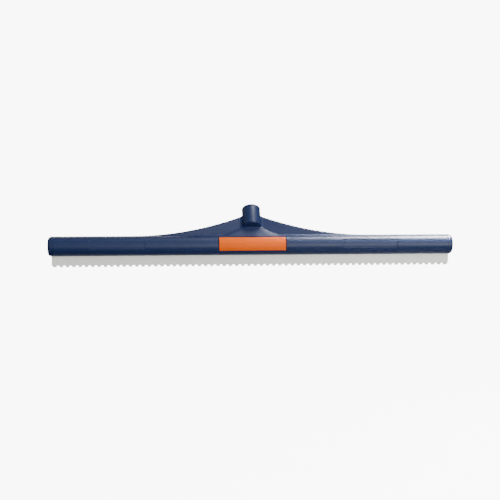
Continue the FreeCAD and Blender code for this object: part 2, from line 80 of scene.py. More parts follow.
MM = 0.001
BLADE_LOW, BLADE_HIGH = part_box("notched_blade")
EDGE = np.array([0.0, (BLADE_LOW.y + BLADE_HIGH.y) / 2, BLADE_LOW.z])


def in_mm(node):
    """A node's lowest and highest corners, in millimetres from the middle of the working edge."""
    low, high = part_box(node)
    return (np.array(low) - EDGE) / MM, (np.array(high) - EDGE) / MM


COVER_LOW, COVER_HIGH = in_mm("front_cover")
BADGE_LOW, BADGE_HIGH = in_mm("centre_badge")
SLAB_LOW, SLAB_HIGH = in_mm("notched_blade")
SCREWS_HIGH = in_mm("cover_screws")[1]

# the bar: y of its walls, z of its levels
SHELL_HALF = COVER_HIGH[0]
BAR_FOOT, BAR_TOP, BAR_MID = 17.0, 46.5, 31.75
BACK_FRONT, BACK_REAR = 4.1, 7.1
LIP_TOP, ROOF_UNDER = 22.3, 43.5
LIP_FRONT, SEAM, SEAM_GAP, SEAM_STEP = 2.8, 45.4, 0.15, 4.6
RIB_PITCH, RIB_HALF, RIB_DEEP, RIB_FRONT = 37.5, 1.0, 2.2, 4.1
BOSS_RADIUS, SCREW_UP = 3.2, 40.0
HEAD_RADIUS, HEAD_TALL, SHANK_RADIUS, SHANK_LENGTH = 3.8, 2.4, 1.9, 12.0
WINDOW, WINDOW_FOOT = BADGE_HIGH[0] + 0.9, BADGE_LOW[2] - 0.45
BADGE_FLOOR, BADGE_SINK = 12.6, 0.6
PEG_RADIUS, PEG_PITCH = 1.6, 28.0
PANELS, PANEL_LENGTH, PANEL_HEIGHTS = (-246.5, 139.5), 83.5, (29.0, 41.5)

# the blade's teeth, and the yoke
PITCH = 9.525
FIN_REACH, FIN_ARC, FIN_ROOT, FIN_BACK = 184.0, 482.0, 44.5, 4.9
FIN_HALF, FIN_SLOPE, FIN_PEAK = 1.8, 0.55, 79.0
FOOT_RISE, FOOT_NARROW, FOOT_SPREAD, FOOT_FRONT, FOOT_REAR = 14.5, 14.5, 31.5, -2.7, 7.0
LEAN = math.radians(40.0)
SOCKET_FRONT, SOCKET_UP = 8.5, 58.9
SOCKET_RADIUS, SOCKET_LENGTH = 14.25, 34.3
INSERT_RADIUS, INSERT_DEEP = 11.6, 31.0
THREAD_RADIUS, THREAD_PITCH = 9.6, 5.08
GUSSET_FOOT, GUSSET_HALF = 24.0, 2.5
SOCKET_END = np.array([0.0, SOCKET_FRONT, SOCKET_UP])
SIDE = np.array([1.0, 0.0, 0.0])
ALONG = np.array([0.0, math.sin(LEAN), math.cos(LEAN)])
SQUARE = np.array([0.0, math.cos(LEAN), -math.sin(LEAN)])
NODE_SLOTS = {s["node"]: s["material_slot"] for s in frame["record"]["subparts"]}

FLOOR_Z = BLADE_LOW.z - 0.3
AMBIENT, BACKDROP = 0.45, 9.0
FLOOR_TINT = (0.08, 0.08, 0.08)
LIGHTS = (
    # name, place, aim, width, height, spread in degrees, power
    ("right_end", (0.6, 0.2, 0.8), (0.42, -0.04, -0.04), 0.3, 0.9, 32, 12.0),
    ("upper_right", (0.85, 0.75, 0.95), (0.5, -0.04, -0.04), 0.8, 0.8, 36, 1.1),
    ("overhead", (0.45, -0.1, 1.35), (0, -0.03, -0.05), 1.2, 0.8, 180, 19.0),
    ("front", (0.8, -1.8, 1.3), (0, -0.03, -0.06), 1.6, 1.2, 180, 19.0),
    ("low_fill", (1.1, -2.6, 0.0), (0, -0.03, -0.06), 2.4, 1.2, 180, 85.0),
    ("back_fill", (-0.3, 2.2, 1.0), (0, 0, -0.05), 2.0, 1.2, 180, 26.0),
)


# ---- sizes and colours that a user would change ---------------------------------------------------------

class BarSizes(bpy.types.PropertyGroup):
    bar_radius: FloatProperty(
        name="Bar radius", description="Radius of the half-round front, in mm", default=-COVER_LOW[1])
    wall: FloatProperty(name="Wall", description="Thickness of the front shell, in mm", default=2.6)
    panel_sink: FloatProperty(
        name="Panel depth", description="How far the two plain panels are sunk, in mm", default=0.6)
    edge_round: FloatProperty(
        name="Edge round", description="Rounding of the moulded edges, in mm", default=0.5)


class BladeSizes(bpy.types.PropertyGroup):
    notch_radius: FloatProperty(name="Notch radius", description="Radius of a notch, in mm", default=2.8)
    corner_radius: FloatProperty(
        name="Corner radius", description="Radius of the two lower corners, in mm", default=5.0)
    arc_steps: IntProperty(name="Arc steps", description="Steps in each notch's arc", default=12)


class Finishes(bpy.types.PropertyGroup):
    plastic: FloatVectorProperty(
        name="Bar", description="Blue plastic of the bar", subtype="COLOR", default=(0.006, 0.016, 0.064))
    badge: FloatVectorProperty(
        name="Badge", description="Orange plastic of the badge", subtype="COLOR", default=(0.72, 0.105, 0.0))
    rubber: FloatVectorProperty(
        name="Blade", description="Pale rubber of the blade", subtype="COLOR", default=(0.84, 0.86, 0.79))


class CameraPlace(bpy.types.PropertyGroup):
    distance: FloatProperty(name="Distance", description="Camera to aim point", unit="LENGTH", default=1.628)
    turn: FloatProperty(
        name="Turn", description="How far the camera stands to the left of square on", unit="ROTATION",
        default=math.radians(3.653))
    tilt: FloatProperty(
        name="Tilt", description="How far the camera looks down", unit="ROTATION",
        default=math.radians(6.133))
    roll: FloatProperty(name="Roll", description="Roll about the view axis", unit="ROTATION", default=0.0)
    lens: FloatProperty(name="Lens", description="Focal length in mm", default=76.34)
    aim: FloatVectorProperty(
        name="Aim", description="Point that the camera looks at", unit="LENGTH",
        default=(-0.0032, -0.03, -0.0608))


# ---- meshes from arrays ---------------------------------------------------------------------------------

def lay_out(points):
    """Millimetres from the working edge to metres in the shared frame."""
    return points * MM + EDGE


def new_piece(name, parts, body, slot, nodes=(), sharp=35.0):
    """One mesh piece from closed (points, faces) surfaces. Edges sharper than an angle are kept crisp."""
    points, faces = many(parts)
    mesh = bpy.data.meshes.new(name)
    mesh.from_pydata(lay_out(points).tolist(), [], faces)
    mesh.validate()
    mesh.polygons.foreach_set("use_smooth", np.ones(len(mesh.polygons), bool))
    mesh.set_sharp_from_angle(angle=math.radians(sharp))
    mesh.update()
    piece = bpy.data.objects.new(name, mesh)
    bpy.context.scene.collection.objects.link(piece)
    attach(piece, body)
    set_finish(piece, slot)
    if nodes:
        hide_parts(*nodes)
    return piece


def signed_volume(points, faces):
    """Volume inside a closed surface: the sum of a . (b x c) / 6 over a fan of triangles in each face."""
    total = 0.0
    for size in {len(face) for face in faces}:
        ids = np.array([face for face in faces if len(face) == size])
        for k in range(1, size - 1):
            b, c = points[ids[:, k]], points[ids[:, k + 1]]
            total += np.einsum("ij,ij->", points[ids[:, 0]], np.cross(b, c))
    return total / 6


def many(parts):
    """Several closed surfaces as one, each with its faces turned outwards."""
    points, faces, start = [], [], 0
    for some_points, some_faces in parts:
        turned_out = signed_volume(some_points, some_faces) > 0
        points.append(some_points)
        faces += [[i + start for i in (face if turned_out else face[::-1])] for face in some_faces]
        start += len(some_points)
    return np.concatenate(points), faces


def skin(rings, looped=False):
    """Rings of equal length, skinned in order. The last joins the first, or else a face closes each end."""
    rings = np.asarray(rings, float)
    count, around = rings.shape[:2]
    row = np.arange(count if looped else count - 1)[:, None]
    column = np.arange(around)[None, :]
    after, beside = (row + 1) % count, (column + 1) % around
    corners = [row * around + column, row * around + beside, after * around + beside, after * around + column]
    faces = np.stack(corners, axis=-1).reshape(-1, 4).tolist()
    if not looped:
        faces.append(list(range(around - 1, -1, -1)))
        faces.append(list(range((count - 1) * around, count * around)))
    return rings.reshape(-1, 3), faces


def rounded(corners, steps=6):
    """A closed outline of (u, v, radius) corners, each corner cut by a tangent arc of its radius."""
    corners = np.asarray(corners, float)
    out = []
    for i, (spot, radius) in enumerate(zip(corners[:, :2], corners[:, 2])):
        if radius <= 0:
            out.append(spot[None, :])
            continue
        before = corners[i - 1, :2] - spot
        after = corners[(i + 1) % len(corners), :2] - spot
        before, after = before / np.linalg.norm(before), after / np.linalg.norm(after)
        half = math.acos(np.clip(before @ after, -1, 1)) / 2
        middle = (before + after) / np.linalg.norm(before + after)
        centre = spot + middle * radius / math.sin(half)
        first, last = spot + before * radius / math.tan(half), spot + after * radius / math.tan(half)
        share = np.linspace(0, 1, steps)[:, None]
        spoke = (first - centre) * (1 - share) + (last - centre) * share
        out.append(centre + spoke / np.linalg.norm(spoke, axis=1, keepdims=True) * radius)
    return np.concatenate(out)


def arc(radius, start, end, steps):
    """Points (y, z) on a circle about the bar's axis. The angle is 0 at the front and rises upwards."""
    angle = np.linspace(start, end, steps)
    return np.column_stack([-radius * np.cos(angle), BAR_MID + radius * np.sin(angle)])


def inward(outline):
    """Unit normals that point into a closed outline, square to the line between each point's neighbours."""
    along = np.roll(outline, -1, 0) - np.roll(outline, 1, 0)
    normals = np.column_stack([-along[:, 1], along[:, 0]])
    normals /= np.maximum(np.linalg.norm(normals, axis=1, keepdims=True), 1e-9)
    u, v = outline.T
    return normals if (u * np.roll(v, -1) - np.roll(u, -1) * v).sum() > 0 else -normals


def slab(outline, low, high, bevel, axis=0, steps=4):
    """An outline carried along x or y, and drawn in by a quarter round of radius bevel at both ends."""
    turn = np.linspace(0, math.pi / 2, steps)
    inset, out = bevel * (1 - np.sin(turn)), bevel * (1 - np.cos(turn))
    places = np.concatenate([low + out, high - out[::-1]])
    normals = inward(outline)
    rings = [np.insert(outline + normals * d, axis, place, axis=1)
             for place, d in zip(places, np.concatenate([inset, inset[::-1]]))]
    return skin(rings)


def rod(x, z, radius, low, high, bevel=0.3, sides=32):
    """A round rod along y at (x, z)."""
    angle = np.linspace(0, math.tau, sides, endpoint=False)
    outline = np.column_stack([x + radius * np.cos(angle), z + radius * np.sin(angle)])
    return slab(outline, low, high, bevel, 1)


def step_up(value, edge, width):
    """0 below an edge and 1 above it, with a smooth cubic ramp of a width centred on it."""
    t = np.clip((value - edge) / width + 0.5, 0, 1)
    return t * t * (3 - 2 * t)


def between(value, low, high, width):
    return step_up(value, low, width) * (1 - step_up(value, high, width))


def places(low, high, pitch, edges=(), width=0.4):
    """Numbers from low to high, a pitch apart, with more of them close around some edges."""
    close = [edge + width * share for edge in edges for share in np.arange(-7, 8, 2) / 10]
    even = np.linspace(low, high, int(math.ceil((high - low) / pitch)) + 1)
    numbers = np.unique(np.round(np.concatenate([even, close, [low, high]]), 4))
    return numbers[(numbers >= low) & (numbers <= high)]


def about_socket(along, radius, sides=96):
    """Rings about the socket's axis, one for each (distance from its lower end, radius)."""
    angle = np.linspace(0, math.tau, sides, endpoint=False)[None, :, None]
    along, radius = (np.asarray(v, float)[:, None, None] for v in (along, radius))
    return SOCKET_END + along * ALONG + radius * (np.sin(angle) * SIDE + np.cos(angle) * SQUARE)


# ---- the bar --------------------------------------------------------------------------------------------

def cover_shell(sizes):
    """The half-round front: an outer arc whose radius drops in the window and panels, and an inner arc.

    At each x the ring runs down the outer arc, along the lower lip, up the inner arc and back over the seam.
    """
    radius, soft = sizes.bar_radius, sizes.edge_round * 1.6
    edges = [-WINDOW, WINDOW] + [x for start in PANELS for x in (start, start + PANEL_LENGTH)]
    edges += [-SHELL_HALF + 0.3, SHELL_HALF - 0.3]
    x = places(-SHELL_HALF, SHELL_HALF, 4.0, edges, soft)[:, None]
    top = math.asin((SEAM - SEAM_GAP - BAR_MID) / radius)
    foot = -math.acos(LIP_FRONT / radius)
    heights = [(z - BAR_MID) / radius for z in (WINDOW_FOOT, *PANEL_HEIGHTS)]
    angle = -places(-top, -foot, 0.045, [-math.asin(h) for h in heights], 0.05)[None, :]
    height = BAR_MID + radius * np.sin(angle)
    in_window = between(x, -WINDOW, WINDOW, soft) * step_up(height, WINDOW_FOOT, soft)
    in_panel = sum(between(x, start, start + PANEL_LENGTH, soft) for start in PANELS)
    in_panel = in_panel * between(height, *PANEL_HEIGHTS, soft)
    near_end = np.clip((np.abs(x) - SHELL_HALF) / sizes.edge_round + 1, 0, 1)
    ends = sizes.edge_round * (1 - np.sqrt(1 - near_end ** 2))
    outer = radius - (radius - BADGE_FLOOR) * in_window - sizes.panel_sink * in_panel - ends
    inner = radius - sizes.wall
    turn = np.linspace(math.asin((LIP_TOP - BAR_MID) / inner), math.acos(SEAM_STEP / inner), 22)
    backed = between(x, -WINDOW - 3, WINDOW + 3, 1.0) * (1 - step_up(np.sin(turn), 0.66, 0.06))
    inner = inner - 2.0 * backed
    open_top = between(x, -WINDOW, WINDOW, soft)
    seam = SEAM - SEAM_GAP - ends - open_top * (SEAM - SEAM_GAP - BAR_MID - BADGE_FLOOR * math.sin(top))
    wide = np.ones_like(x)
    rows = [
        np.stack([x * np.ones_like(angle), -outer * np.cos(angle), BAR_MID + outer * np.sin(angle)], -1),
        np.stack([x, -LIP_FRONT * wide, LIP_TOP * wide], -1),
        np.stack([x * np.ones_like(inner), -inner * np.cos(turn), BAR_MID + inner * np.sin(turn)], -1),
        np.stack([x, -SEAM_STEP * wide, seam], -1),
    ]
    return skin(np.concatenate(rows, axis=1))


def cover_inside(sizes):
    """Cross ribs and screw bosses behind the shell. The two bosses behind the badge are shorter."""
    inner = sizes.bar_radius - sizes.wall + 0.4
    start, end = math.asin((LIP_TOP - BAR_MID) / inner), math.acos((RIB_FRONT + 2.0) / inner)
    rear = [[-RIB_FRONT, LIP_TOP], [-RIB_FRONT, BAR_MID + inner * math.sin(end)]]
    rib = np.concatenate([arc(inner, end, start, 20), rear])
    ribs = [slab(rib, x - RIB_HALF, x + RIB_HALF, 0.25) for x in np.arange(-7, 8) * RIB_PITCH]
    bosses = [rod(step * RIB_PITCH, SCREW_UP, BOSS_RADIUS, -5.0 if abs(step) == 1 else -8.5, BACK_FRONT - 0.1)
              for step in range(-7, 8, 2)]
    return ribs + bosses


def back_and_roof(sizes):
    """The back wall and the roof: an L with rounded corners, whose front lip follows the bar's circle."""
    radius = sizes.bar_radius
    lip = arc(radius, math.asin((BAR_TOP - 0.5 - BAR_MID) / radius), math.asin((SEAM - BAR_MID) / radius), 5)
    lip = np.column_stack([lip, np.zeros(5)])
    outline = rounded([
        (LIP_FRONT, BAR_FOOT, 0.4),
        (BACK_REAR, BAR_FOOT, 0.8),
        (BACK_REAR, BAR_TOP, 0.9),
        (lip[0, 0] + 1.4, BAR_TOP, 0.9),
        *lip,
        (-SEAM_STEP, SEAM, 0),
        (-SEAM_STEP, ROOF_UNDER, 0.3),
        (BACK_FRONT, ROOF_UNDER, 0.5),
        (BACK_FRONT, LIP_TOP, 0.3),
        (LIP_FRONT, LIP_TOP, 0.3),
    ])
    return slab(outline, -SHELL_HALF, SHELL_HALF, 0.3)


def back_ribs():
    """Seven upright ribs on the back, one at every second step of the ribs inside."""
    deep = BACK_REAR + RIB_DEEP
    outline = rounded([
        (BACK_REAR - 0.6, BAR_FOOT + 1.5, 0),
        (deep, BAR_FOOT + 4, 0.8),
        (deep, BAR_TOP - 4, 0.8),
        (BACK_REAR - 0.6, BAR_TOP - 1.5, 0),
    ])
    return [slab(outline, x - RIB_HALF, x + RIB_HALF, 0.4) for x in np.arange(-3, 4) * 2 * RIB_PITCH]


# ---- the handle yoke ------------------------------------------------------------------------------------

def fin_top(x):
    """The fin's height: a wide arc, tangent to the roof at the fin's reach, that flares beside the socket."""
    reach = FIN_REACH - np.abs(x)
    wide = BAR_TOP + FIN_ARC - np.sqrt(FIN_ARC ** 2 - reach ** 2)
    return np.minimum(wide + 2.0 * np.exp(-((np.abs(x) - 11) / 3.5) ** 2), FIN_PEAK)


def fin():
    """The leaning fin, as a section at each x.

    A section rises from a small fillet on the roof, ends in half an ellipse and comes down the back. Its
    middle line leans back by (height above the root) * slope * (1 - |x| / reach) ** 1.3.
    """
    x = places(-FIN_REACH + 0.5, FIN_REACH - 0.5, 2.0, (-17, -13, 13, 17), 4.0)[:, None]
    lean = FIN_SLOPE * (1 - np.abs(x) / FIN_REACH) ** 1.3
    top = fin_top(x)
    top = top - 0.15 * (top - FIN_ROOT) * lean
    half = FIN_HALF + 2.2 * np.exp(-((np.abs(x) - 13.2) / 2.6) ** 2)
    tall = np.maximum(top - BAR_TOP, 0.02)
    crown = np.minimum(FIN_HALF, 0.9 * tall)
    fillet = np.minimum(2.4, 0.6 * tall)
    turn = np.linspace(0, math.pi / 2, 6)[None, :]
    low_z = BAR_TOP + fillet * (1 - np.cos(turn))
    low_out = half + fillet * (1 - np.sin(turn))
    mid = np.linspace(0, 1, 9)[None, 1:-1]
    mid_z = BAR_TOP + fillet + (top - crown - BAR_TOP - fillet) * mid
    over = np.linspace(0, math.pi, 15)[None, :]
    root = np.full_like(x, BAR_TOP - 1.0)
    front_z = np.concatenate([root, low_z, mid_z], 1)
    z = np.concatenate([front_z, top - crown + crown * np.sin(over), front_z[:, ::-1]], 1)
    front_out = np.concatenate([low_out[:, :1], low_out, half * np.ones_like(mid_z)], 1)
    out = np.concatenate([-front_out, -half * np.cos(over), front_out[:, ::-1]], 1)
    y = FIN_BACK + (z - FIN_ROOT) * lean + out
    return skin(np.stack([x * np.ones_like(z), y, z], -1))


def foot():
    """The foot in front of the socket, as a plan outline at each rise s above the roof.

    The front stands at front + s - 0.0183 s^2, the half width is narrow + spread (1 - s / rise)^1.4, and the
    outline between them is a flat-fronted superellipse.
    """
    s = np.concatenate([[-1.4, -1.0, -0.6, -0.3], np.linspace(0, FOOT_RISE, 26)])[:, None]
    share = np.clip(1 - s / FOOT_RISE, 0, 1.1)
    wide = FOOT_NARROW + FOOT_SPREAD * share ** 1.4
    front = FOOT_FRONT + s - 0.0183 * s ** 2
    rear = FOOT_REAR + 0.49 * s
    turn = np.linspace(-math.pi / 2, math.pi / 2, 61)[None, :]
    x = wide * np.sign(turn) * np.abs(np.sin(turn)) ** 0.85
    y = rear - (rear - front) * np.cos(turn) ** 0.38
    return skin(np.stack([x, y, BAR_TOP + s * np.ones_like(y)], -1))


def tube():
    """The socket: a thick tube with a rounded lower edge, a rounded mouth and a blind seat for the insert."""
    turn = np.linspace(0, math.pi / 2, 6)
    outer, seat = SOCKET_RADIUS, INSERT_RADIUS + 0.05
    high, seat_end = SOCKET_LENGTH, SOCKET_LENGTH - INSERT_DEEP
    along = np.concatenate([
        [0, 0], 0.9 * (1 - np.cos(turn)), [high * 0.5],
        high - 1.0 * (1 - np.sin(turn)), [high, high - 0.35, seat_end, seat_end]])
    radius = np.concatenate([
        [0.02, outer * 0.6], outer - 0.9 * (1 - np.sin(turn)), [outer],
        outer - 1.0 * (1 - np.cos(turn)), [seat + 0.35, seat, seat, 0.02]])
    return skin(about_socket(along, radius))


def gusset():
    """The upright plate behind the socket, down to the middle rib on the bar's back."""
    outline = rounded([
        (BACK_REAR + RIB_DEEP, GUSSET_FOOT, 0.5),
        (BACK_REAR + RIB_DEEP + 2, GUSSET_FOOT, 0.9),
        (SOCKET_FRONT + 26, SOCKET_UP + 8, 1.0),
        (SOCKET_FRONT + 12, SOCKET_UP + 12, 1.0),
        (BACK_REAR - 0.4, BAR_TOP, 0),
        (BACK_REAR - 0.4, BAR_TOP - 4, 0),
    ])
    return slab(outline, -GUSSET_HALF, GUSSET_HALF, 0.6)


# ---- small pieces ---------------------------------------------------------------------------------------

def blade(sizes):
    """The blade seen from the front: half-round notches along its lower edge and two rounded corners."""
    half, top, corner = SLAB_HIGH[0], SLAB_HIGH[2], sizes.corner_radius
    turn = np.linspace(math.pi, 0, sizes.arc_steps + 1)
    centres = np.arange(-31, 32)[:, None] * PITCH
    across, up = sizes.notch_radius * np.cos(turn), sizes.notch_radius * np.sin(turn)
    notches = np.stack([centres + across, up + 0 * centres], -1)
    quarter = np.linspace(0, math.pi / 2, 8)
    left = np.column_stack([-half + corner * (1 - np.cos(quarter)), corner * (1 - np.sin(quarter))])
    right = np.column_stack([half - corner * (1 - np.sin(quarter)), corner * (1 - np.cos(quarter))])
    upper = [[half, top], [-half, top]]
    outline = np.concatenate([left, notches.reshape(-1, 2), right, upper])
    return slab(outline, SLAB_LOW[1], SLAB_HIGH[1], 0.3, axis=1)


def badge_plate(sizes):
    """The curved plate: its section, with its front corners cut, drawn in at both ends for a soft rim."""
    outer = sizes.bar_radius - BADGE_SINK
    start, end = (math.asin((z - BAR_MID) / outer) for z in (BADGE_LOW[2], BADGE_HIGH[2]))
    outline = np.concatenate([
        arc(outer - 0.14, start + 0.01, start + 0.01, 1),
        arc(outer, start + 0.03, end - 0.03, 40),
        arc(outer - 0.14, end - 0.01, end - 0.01, 1),
        arc(BADGE_FLOOR, end - 0.04, start + 0.04, 24),
    ])
    return slab(outline, -BADGE_HIGH[0], BADGE_HIGH[0], 0.45, steps=6)


def badge_frame(sizes):
    """A low raised line just inside the badge's rim, made of four bars that follow its curve."""
    radius = sizes.bar_radius - BADGE_SINK
    outer, inner, end = radius + 0.18, radius - 0.3, BADGE_HIGH[0] - 3.3
    low, high = math.asin(-3.9 / radius), math.asin(9.6 / radius)
    sections = [np.concatenate([arc(outer, a, a + 0.05, 4), arc(inner, a + 0.07, a - 0.02, 4)])
                for a in (low, high)]
    upright = np.concatenate([arc(outer, low, high + 0.05, 24), arc(inner, high + 0.05, low, 24)])
    long_bars = [slab(section, -end, end, 0.2) for section in sections]
    short_bars = [slab(upright, x - 0.4, x + 0.4, 0.2) for x in (0.3 - end, end - 0.3)]
    return long_bars + short_bars


def badge_pegs():
    """Four pegs that hold the badge from behind."""
    return [rod(x, BAR_MID, PEG_RADIUS, -BADGE_FLOOR - 0.3, -BADGE_FLOOR + 3.4)
            for x in (np.arange(4) - 1.5) * PEG_PITCH]


def sleeve():
    """The insert's wall, chamfered at its mouth, and the handle thread's helical ridge in its bore."""
    low, high = SOCKET_LENGTH - INSERT_DEEP, SOCKET_LENGTH
    along = [low, low, high - 0.3, high, high, high - 0.9]
    bore, outer = THREAD_RADIUS, INSERT_RADIUS
    wall = skin(about_socket(along, [bore, outer, outer, outer - 0.3, bore + 0.9, bore]), looped=True)
    last = (INSERT_DEEP - 4.5) / THREAD_PITCH * math.tau
    angle = np.linspace(0, last, int(last / math.tau * 64))[:, None]
    depth = 2.2 * np.clip(np.minimum(angle, last - angle) / 1.2, 0.05, 1)
    out = bore + 0.15 - np.array([0, 0, 1, 1])[None, :] * (depth + 0.15)
    wide = np.array([-1.6, 1.6, 0.95, -0.95])[None, :]
    along = low + 2.0 + angle / math.tau * THREAD_PITCH + wide
    spoke = np.sin(angle)[..., None] * SIDE + np.cos(angle)[..., None] * SQUARE
    return [wall, skin(SOCKET_END + along[..., None] * ALONG + out[..., None] * spoke)]


def screw(x):
    """A pan-head screw along y, whose head stands tall (1 - 0.3 (r / radius)^4), less a cross recess."""
    radius = [0.02, 0.3, 0.5, 0.7, 0.9, 1.2, 1.5, 1.7, 1.9, 2.1, 2.5, 3.0, 3.4, 3.7, HEAD_RADIUS, HEAD_RADIUS]
    radius = np.array(radius)[:, None]
    angle = np.linspace(0, math.tau, 72, endpoint=False)[None, :]
    across, up = radius * np.cos(angle), radius * np.sin(angle)
    arm = np.minimum(np.abs(across), np.abs(up))
    recess = (1 - step_up(arm, 0.42, 0.3)) * (1 - step_up(radius, 1.8, 0.4))
    rise = HEAD_TALL * (1 - 0.3 * (radius / HEAD_RADIUS) ** 4) - 1.2 * recess
    rise[-1] = 0.0
    head = np.stack([x + across, BACK_REAR + rise, SCREW_UP + up], -1)
    tip = BACK_REAR - SHANK_LENGTH
    shank = [np.stack([x + r * np.cos(angle), y + 0 * angle, SCREW_UP + r * np.sin(angle)], -1)
             for r, y in ((SHANK_RADIUS, BACK_REAR), (SHANK_RADIUS, tip + 1.5), (0.6, tip))]
    return skin(np.concatenate([head, *shank]))


# ---- finishes -------------------------------------------------------------------------------------------

def finish_of(name, colour, roughness, spread, blotch, grain, metallic=0.0, specular=0.5, streak=(1, 1, 1)):
    """A material whose colour and sheen drift with one broad noise and whose surface has a fine grain.

    spread is how far the colour's value drifts, blotch the broad noise's scale and grain the bump's depth in
    mm. streak stretches both noises along an axis.
    """
    material = bpy.data.materials.new(name)
    material.use_nodes = True
    nodes, links = material.node_tree.nodes, material.node_tree.links
    shader = nodes["Principled BSDF"]
    shader.inputs["Metallic"].default_value = metallic
    shader.inputs["Specular IOR Level"].default_value = specular
    place = nodes.new("ShaderNodeTexCoord")
    stretch = nodes.new("ShaderNodeMapping")
    stretch.inputs["Scale"].default_value = streak
    links.new(place.outputs["Object"], stretch.inputs["Vector"])
    broad = nodes.new("ShaderNodeTexNoise")
    broad.inputs["Scale"].default_value = blotch
    broad.inputs["Detail"].default_value = 5.0
    fine = nodes.new("ShaderNodeTexNoise")
    fine.inputs["Scale"].default_value = 1400.0
    fine.inputs["Detail"].default_value = 2.0
    for noise in (broad, fine):
        links.new(stretch.outputs["Vector"], noise.inputs["Vector"])
    tint = nodes.new("ShaderNodeMix")
    tint.data_type = "RGBA"
    tint.inputs["A"].default_value = (*[c * (1 - spread) for c in colour], 1)
    tint.inputs["B"].default_value = (*[min(1.0, c * (1 + spread)) for c in colour], 1)
    links.new(broad.outputs["Fac"], tint.inputs["Factor"])
    links.new(tint.outputs["Result"], shader.inputs["Base Color"])
    sheen = nodes.new("ShaderNodeMapRange")
    sheen.inputs["To Min"].default_value = roughness * 0.85
    sheen.inputs["To Max"].default_value = roughness * 1.15
    links.new(broad.outputs["Fac"], sheen.inputs["Value"])
    links.new(sheen.outputs["Result"], shader.inputs["Roughness"])
    bump = nodes.new("ShaderNodeBump")
    bump.inputs["Strength"].default_value = 0.6
    bump.inputs["Distance"].default_value = grain * MM
    links.new(fine.outputs["Fac"], bump.inputs["Height"])
    links.new(bump.outputs["Normal"], shader.inputs["Normal"])
    return material


def moulded_blue(colour):
    """Blue plastic with a soft sheen."""
    return finish_of("moulded_blue", colour, 0.40, 0.10, 45.0, 0.02, specular=0.3)


def pale_rubber(colour):
    """Pale grey rubber, nearly matt."""
    return finish_of("pale_rubber", colour, 0.75, 0.06, 60.0, 0.05, specular=0.3)


def moulded_orange(colour):
    """Orange plastic with a weak sheen."""
    return finish_of("moulded_orange", colour, 0.45, 0.05, 70.0, 0.02, specular=0.1)


def extruded_grey():
    """Dark grey plastic, streaked along the strip."""
    return finish_of("extruded_grey", (0.10, 0.10, 0.11), 0.5, 0.12, 30.0, 0.03, streak=(0.1, 1, 1))


def dull_brass():
    """Brass of the threaded insert."""
    return finish_of("dull_brass", (0.56, 0.40, 0.17), 0.36, 0.12, 220.0, 0.02, metallic=1.0)


def zinc_plate():
    """Zinc-plated steel of the screws."""
    return finish_of("zinc_plate", (0.58, 0.59, 0.60), 0.3, 0.10, 500.0, 0.02, metallic=1.0)


def dress(piece, material):
    piece.data.materials.clear()
    piece.data.materials.append(material)


# ---- operators ------------------------------------------------------------------------------------------

class SQUEEGEE_OT_bar(bpy.types.Operator):
    """Build the front cover and the rear frame of the bar"""
    bl_idname = "squeegee.bar"
    bl_label = "Bar"

    def execute(self, context):
        sizes = context.scene.squeegee_bar
        cover = [cover_shell(sizes)] + cover_inside(sizes)
        new_piece("bar_cover", cover, "head", "blue_plastic", ["front_cover"])
        back = [back_and_roof(sizes)] + back_ribs()
        new_piece("bar_back", back, "head", "blue_plastic", ["rear_frame"])
        return {"FINISHED"}


class SQUEEGEE_OT_yoke(bpy.types.Operator):
    """Build the fin, the foot and the handle socket"""
    bl_idname = "squeegee.yoke"
    bl_label = "Handle yoke"

    def execute(self, context):
        new_piece("side_fins", [fin()], "head", "blue_plastic", ["left_fin", "right_fin"])
        new_piece("sloping_foot", [foot()], "head", "blue_plastic", ["socket_foot"])
        new_piece("gusset", [gusset()], "head", "blue_plastic", ["socket_gusset"])
        new_piece("socket_tube", [tube()], "head", "blue_plastic", ["handle_socket"])
        new_piece("threaded_sleeve", sleeve(), "head", "insert_metal", ["socket_insert"])
        return {"FINISHED"}


class SQUEEGEE_OT_blade(bpy.types.Operator):
    """Build the notched rubber blade"""
    bl_idname = "squeegee.blade"
    bl_label = "Blade"

    def execute(self, context):
        sizes = context.scene.squeegee_blade
        new_piece("rubber_blade", [blade(sizes)], "blade_cartridge", "blade_rubber", ["notched_blade"])
        return {"FINISHED"}


class SQUEEGEE_OT_badge(bpy.types.Operator):
    """Build the plain badge with its raised border and pegs"""
    bl_idname = "squeegee.badge"
    bl_label = "Badge"

    def execute(self, context):
        sizes = context.scene.squeegee_bar
        parts = [badge_plate(sizes)] + badge_frame(sizes) + badge_pegs()
        new_piece("badge", parts, "head", "orange_plastic", ["centre_badge"])
        return {"FINISHED"}


class SQUEEGEE_OT_screws(bpy.types.Operator):
    """Build the pan-head screws in the back"""
    bl_idname = "squeegee.screws"
    bl_label = "Screws"

    def execute(self, context):
        spots = [step * RIB_PITCH for step in range(-7, 8, 2)] + [SCREWS_HIGH[0] - HEAD_RADIUS]
        new_piece("screws", [screw(x) for x in spots], "head", "screw_steel", ["cover_screws"])
        return {"FINISHED"}


class SQUEEGEE_OT_finishes(bpy.types.Operator):
    """Give every piece its procedural material"""
    bl_idname = "squeegee.finishes"
    bl_label = "Finishes"

    def execute(self, context):
        colours = context.scene.squeegee_finishes
        finishes = {
            "blue_plastic": moulded_blue(colours.plastic),
            "blade_rubber": pale_rubber(colours.rubber),
            "orange_plastic": moulded_orange(colours.badge),
            "grey_plastic": extruded_grey(),
            "insert_metal": dull_brass(),
            "screw_steel": zinc_plate(),
        }
        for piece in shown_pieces():
            dress(piece, finishes[slot_of(piece)])
        return {"FINISHED"}


class SQUEEGEE_OT_stage(bpy.types.Operator):
    """Set up the floor, the soft lights and the camera"""
    bl_idname = "squeegee.stage"
    bl_label = "Stage"

    def execute(self, context):
        add_floor()
        add_world(context.scene)
        for light in LIGHTS:
            add_light(*light)
        context.scene.camera = add_camera(context.scene.squeegee_camera)
        return {"FINISHED"}


